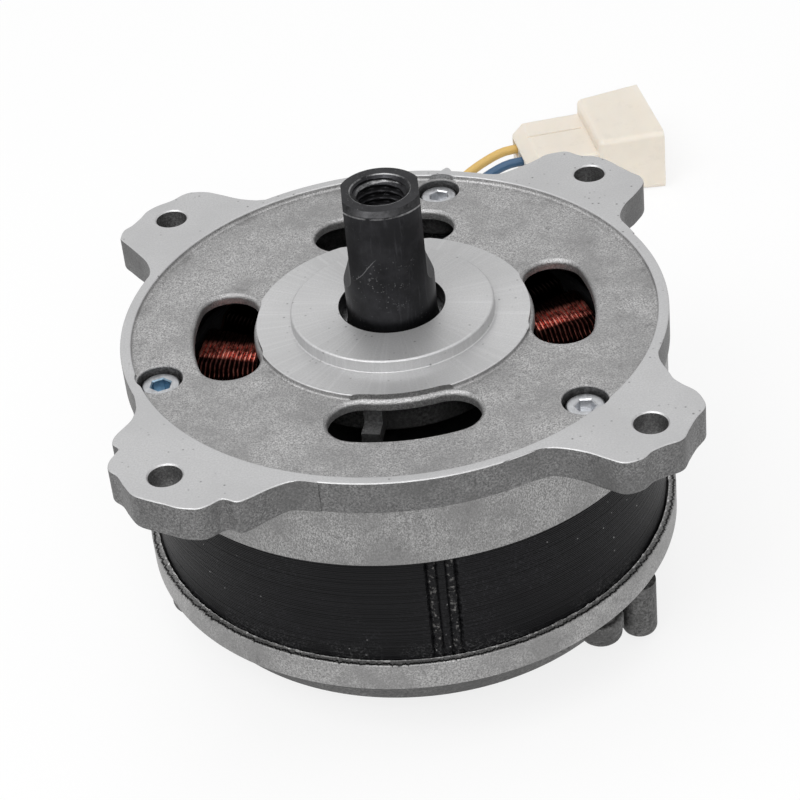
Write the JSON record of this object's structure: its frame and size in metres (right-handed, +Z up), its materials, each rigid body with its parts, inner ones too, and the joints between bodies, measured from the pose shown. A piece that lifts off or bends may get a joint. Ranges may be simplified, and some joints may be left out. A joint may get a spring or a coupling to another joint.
{
  "type": "flanged brushless DC motor",
  "caption": "Inner-rotor brushless motor with a die-cast flange, mounting ears, kidney windows over the windings, a flatted threaded shaft and a white phase plug.",
  "frame": {"origin": "On the shaft's axis, in the plane that the motor stands on: the flat bottom of the rear bearing hub.", "axes": "+Z runs up the shaft's axis, out of the mounting face. +X points to the picture's right, square to the shaft's flats. +Y points away from the viewer, towards the leads and plug."},
  "size_m": [0.1457, 0.2543, 0.1074],
  "materials": {
    "cast_aluminium": "die cast, machined on the ring, ears, hub and boss",
    "black_lamination": "black painted lamination stack",
    "black_oxide_steel": "black oxide with worn bright edges",
    "enamelled_copper": null,
    "insulator_nylon": "moulded black nylon",
    "zinc_steel": "bright zinc plate",
    "bearing_steel": "ground bearing steel",
    "nickel_magnet": "nickel plated sintered magnet",
    "grommet_rubber": "soft black rubber",
    "plug_nylon": "natural nylon, slightly translucent",
    "tinned_brass": "tinned brass contact",
    "lead_yellow_sleeve": "flexible sleeve",
    "lead_blue_sleeve": "flexible sleeve",
    "lead_green_sleeve": "flexible sleeve"
  },
  "bodies": {
    "housing": {"front_cover": "cast_aluminium", "rear_cover": "cast_aluminium", "stator_core": "black_lamination", "front_insulator": "insulator_nylon", "rear_insulator": "insulator_nylon", "coil_01": "enamelled_copper", "coil_02": "enamelled_copper", "coil_03": "enamelled_copper", "coil_04": "enamelled_copper", "coil_05": "enamelled_copper", "coil_06": "enamelled_copper", "coil_07": "enamelled_copper", "coil_08": "enamelled_copper", "coil_09": "enamelled_copper", "coil_10": "enamelled_copper", "coil_11": "enamelled_copper", "coil_12": "enamelled_copper", "front_bearing_outer_race": "bearing_steel", "rear_bearing_outer_race": "bearing_steel", "wave_washer": "bearing_steel", "housing_screw_1": "zinc_steel", "housing_screw_2": "zinc_steel", "housing_screw_3": "zinc_steel", "lead_grommet": "grommet_rubber", "lead_yellow": "lead_yellow_sleeve", "lead_blue": "lead_blue_sleeve", "lead_green": "lead_green_sleeve", "plug_housing": "plug_nylon", "terminal_yellow": "tinned_brass", "terminal_blue": "tinned_brass", "terminal_green": "tinned_brass"},
    "rotor": {"shaft": "black_oxide_steel", "rotor_core": "black_lamination", "rotor_circlip": "black_oxide_steel", "front_bearing_inner_race": "bearing_steel", "rear_bearing_inner_race": "bearing_steel", "magnet_01": "nickel_magnet", "magnet_02": "nickel_magnet", "magnet_03": "nickel_magnet", "magnet_04": "nickel_magnet", "magnet_05": "nickel_magnet", "magnet_06": "nickel_magnet", "magnet_07": "nickel_magnet", "magnet_08": "nickel_magnet", "magnet_09": "nickel_magnet", "magnet_10": "nickel_magnet"}
  },
  "joints": [
    {"name": "rotor_spin", "type": "hinge", "parent": "housing", "child": "rotor", "pos_m": [0, 0, 0.0754], "axis": [0, 0, 1], "continuous": true}
  ]
}
